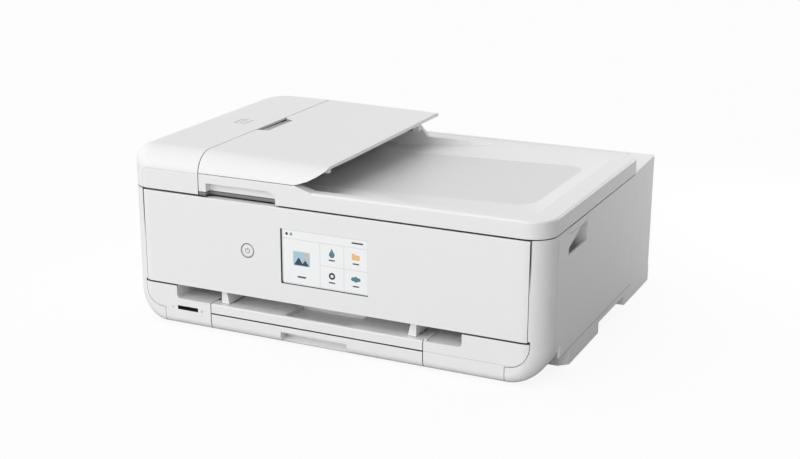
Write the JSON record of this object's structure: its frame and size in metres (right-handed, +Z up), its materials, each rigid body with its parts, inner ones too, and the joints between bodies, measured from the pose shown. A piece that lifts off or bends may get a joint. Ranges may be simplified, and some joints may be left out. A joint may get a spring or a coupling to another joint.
{
  "type": "inkjet printer",
  "caption": "Low white desktop inkjet printer with a document feeder, sloping output dish, tilting screen panel, sliding paper trays and a lifting scanner.",
  "frame": {"origin": "on the table, under the middle of the casing", "axes": "+X to the right seen from the front, +Y to the back, +Z up"},
  "size_m": [0.468, 0.366, 0.197],
  "materials": {
    "casing_white": "fine satin grain",
    "inner_grey": "satin",
    "mechanism_black": "satin",
    "steel": "drawn",
    "rubber": "matte",
    "scan_glass": "clear",
    "screen": "glossy",
    "lamp": "clear",
    "film": "clear",
    "board": "satin",
    "pad": "soft sheet",
    "felt": "felt",
    "ink_plastic": "glossy"
  },
  "bodies": {
    "casing": {"base_tray": "casing_white", "left_side_shell": "casing_white", "right_side_shell": "casing_white", "rear_cover": "casing_white", "front_left_block": "casing_white", "front_right_block": "casing_white", "output_frame": "casing_white", "rear_chute": "inner_grey", "card_slot": "mechanism_black", "power_inlet": "mechanism_black", "usb_socket": "mechanism_black", "platen": "mechanism_black", "maintenance_unit": "mechanism_black", "power_supply": "mechanism_black", "chassis_frame": "steel", "carriage_shaft": "steel", "case_screws": "steel", "feed_motor": "steel", "carriage_motor": "steel", "rubber_feet": "rubber", "drive_belt": "rubber", "access_lamp": "lamp", "encoder_strip": "film", "main_board": "board", "ink_absorber": "felt"},
    "panel": {"operation_panel": "casing_white", "touch_screen": "screen"},
    "button": {"power_button": "casing_white"},
    "output_tray": {"output_tray": "casing_white"},
    "cassette": {"cassette": "casing_white"},
    "left_cassette_guide": {"left_cassette_guide": "inner_grey"},
    "right_cassette_guide": {"right_cassette_guide": "inner_grey"},
    "end_cassette_guide": {"end_cassette_guide": "inner_grey"},
    "rear_tray_cover": {"rear_tray_cover": "casing_white"},
    "left_rear_guide": {"left_rear_guide": "inner_grey"},
    "right_rear_guide": {"right_rear_guide": "inner_grey"},
    "scanner": {"scanner_frame": "casing_white", "scanner_hinge_pins": "steel", "lid_hinge_pins": "steel", "platen_glass": "scan_glass", "feeder_glass": "scan_glass", "scan_rail": "steel"},
    "scan_carriage": {"scan_carriage": "mechanism_black"},
    "lid": {"lid_shell": "casing_white", "lid_pad": "pad", "feeder_frame": "inner_grey"},
    "feeder_cover": {"feeder_cover": "casing_white"},
    "document_tray": {"document_tray": "casing_white"},
    "front_document_guide": {"front_document_guide": "inner_grey"},
    "rear_document_guide": {"rear_document_guide": "inner_grey"},
    "feeder_pickup": {"feeder_pickup_roller": "rubber"},
    "feeder_drive": {"feeder_drive_roller": "rubber"},
    "carriage": {"print_carriage": "mechanism_black", "ink_tanks": "ink_plastic"},
    "line_feed": {"line_feed_roller": "steel"},
    "eject": {"eject_roller": "steel"},
    "idler": {"idler_gear": "mechanism_black"},
    "pinion": {"motor_pinion": "mechanism_black"},
    "motor_pulley": {"motor_pulley": "mechanism_black"},
    "idler_pulley": {"idler_pulley": "mechanism_black"}
  },
  "joints": [
    {"name": "panel_tilt", "type": "hinge", "parent": "casing", "child": "panel", "pos_m": [0, -0.178, 0.1382], "axis": [-1, 0, 0], "range_deg": [0, 40]},
    {"name": "button_press", "type": "slide", "parent": "panel", "child": "button", "axis": [0, 1, 0], "range_m": [0, 0.0008], "stiffness_N_per_m": 500, "springref_m": -0.001},
    {"name": "output_tray_slide", "type": "slide", "parent": "casing", "child": "output_tray", "axis": [0, -1, 0], "range_m": [0, 0.15]},
    {"name": "cassette_slide", "type": "slide", "parent": "casing", "child": "cassette", "axis": [0, -1, 0], "range_m": [0, 0.25]},
    {"name": "left_cassette_guide_slide", "type": "slide", "parent": "cassette", "child": "left_cassette_guide", "axis": [1, 0, 0], "range_m": [0, 0.05]},
    {"name": "right_cassette_guide_slide", "type": "slide", "parent": "cassette", "child": "right_cassette_guide", "axis": [-1, 0, 0], "range_m": [0, 0.05]},
    {"name": "end_cassette_guide_slide", "type": "slide", "parent": "cassette", "child": "end_cassette_guide", "axis": [0, 1, 0], "range_m": [0, 0.09]},
    {"name": "rear_tray_cover_open", "type": "hinge", "parent": "casing", "child": "rear_tray_cover", "pos_m": [0, 0.176, 0.15048], "axis": [1, 0, 0], "range_deg": [-105, 0]},
    {"name": "left_rear_guide_slide", "type": "slide", "parent": "casing", "child": "left_rear_guide", "axis": [1, 0, 0], "range_m": [0, 0.06]},
    {"name": "right_rear_guide_slide", "type": "slide", "parent": "casing", "child": "right_rear_guide", "axis": [-1, 0, 0], "range_m": [0, 0.06]},
    {"name": "scanner_lift", "type": "hinge", "parent": "casing", "child": "scanner", "pos_m": [0, 0.109, 0.147], "axis": [1, 0, 0], "range_deg": [-40, 0]},
    {"name": "scan_carriage_slide", "type": "slide", "parent": "scanner", "child": "scan_carriage", "axis": [1, 0, 0], "range_m": [0, 0.395]},
    {"name": "lid_open", "type": "hinge", "parent": "scanner", "child": "lid", "pos_m": [0, 0.109, 0.153], "axis": [-1, 0, 0], "range_deg": [0, 60]},
    {"name": "feeder_cover_open", "type": "hinge", "parent": "lid", "child": "feeder_cover", "pos_m": [-0.2305, 0, 0.1514], "axis": [0, -1, 0], "range_deg": [0, 70]},
    {"name": "document_tray_fold", "type": "hinge", "parent": "lid", "child": "document_tray", "pos_m": [-0.012, 0, 0.1825], "axis": [0, 1, 0], "range_deg": [0, 135]},
    {"name": "front_document_guide_slide", "type": "slide", "parent": "lid", "child": "front_document_guide", "axis": [0, 1, 0], "range_m": [0, 0.06]},
    {"name": "rear_document_guide_slide", "type": "slide", "parent": "lid", "child": "rear_document_guide", "axis": [0, -1, 0], "range_m": [0, 0.06]},
    {"name": "feeder_drive_spin", "type": "hinge", "parent": "lid", "child": "feeder_drive", "pos_m": [-0.186, 0, 0.164], "axis": [0, 1, 0], "continuous": true},
    {"name": "feeder_pickup_spin", "type": "hinge", "parent": "lid", "child": "feeder_pickup", "pos_m": [-0.156, 0, 0.1784], "axis": [0, 1, 0], "continuous": true},
    {"name": "carriage_slide", "type": "slide", "parent": "casing", "child": "carriage", "axis": [-1, 0, 0], "range_m": [0, 0.33]},
    {"name": "motor_pulley_spin", "type": "hinge", "parent": "casing", "child": "motor_pulley", "pos_m": [-0.2, 0.0525, 0.0745], "axis": [0, 0, -1], "range_deg": [0, 2900]},
    {"name": "idler_pulley_spin", "type": "hinge", "parent": "casing", "child": "idler_pulley", "pos_m": [0.2, 0.0525, 0.0745], "axis": [0, 0, -1], "range_deg": [0, 2900]},
    {"name": "line_feed_spin", "type": "hinge", "parent": "casing", "child": "line_feed", "pos_m": [0, 0.03, 0.058], "axis": [1, 0, 0], "continuous": true},
    {"name": "eject_spin", "type": "hinge", "parent": "casing", "child": "eject", "pos_m": [0, -0.066, 0.058], "axis": [1, 0, 0], "continuous": true},
    {"name": "idler_spin", "type": "hinge", "parent": "casing", "child": "idler", "pos_m": [-0.218, -0.018, 0.058], "axis": [1, 0, 0], "continuous": true},
    {"name": "pinion_spin", "type": "hinge", "parent": "casing", "child": "pinion", "pos_m": [-0.218, 0.04502, 0.02975], "axis": [1, 0, 0], "continuous": true}
  ],
  "couplings": [
    {"joint": "right_cassette_guide_slide", "follows": "left_cassette_guide_slide", "ratio": 1},
    {"joint": "right_rear_guide_slide", "follows": "left_rear_guide_slide", "ratio": 1},
    {"joint": "rear_document_guide_slide", "follows": "front_document_guide_slide", "ratio": 1},
    {"joint": "feeder_drive_spin", "follows": "feeder_pickup_spin", "ratio": -0.625},
    {"joint": "motor_pulley_spin", "follows": "carriage_slide", "rad_per_m": 152.67},
    {"joint": "idler_pulley_spin", "follows": "carriage_slide", "rad_per_m": 152.67},
    {"joint": "line_feed_spin", "follows": "pinion_spin", "ratio": -0.33333},
    {"joint": "idler_spin", "follows": "pinion_spin", "ratio": 0.33333},
    {"joint": "eject_spin", "follows": "pinion_spin", "ratio": -0.33333}
  ]
}
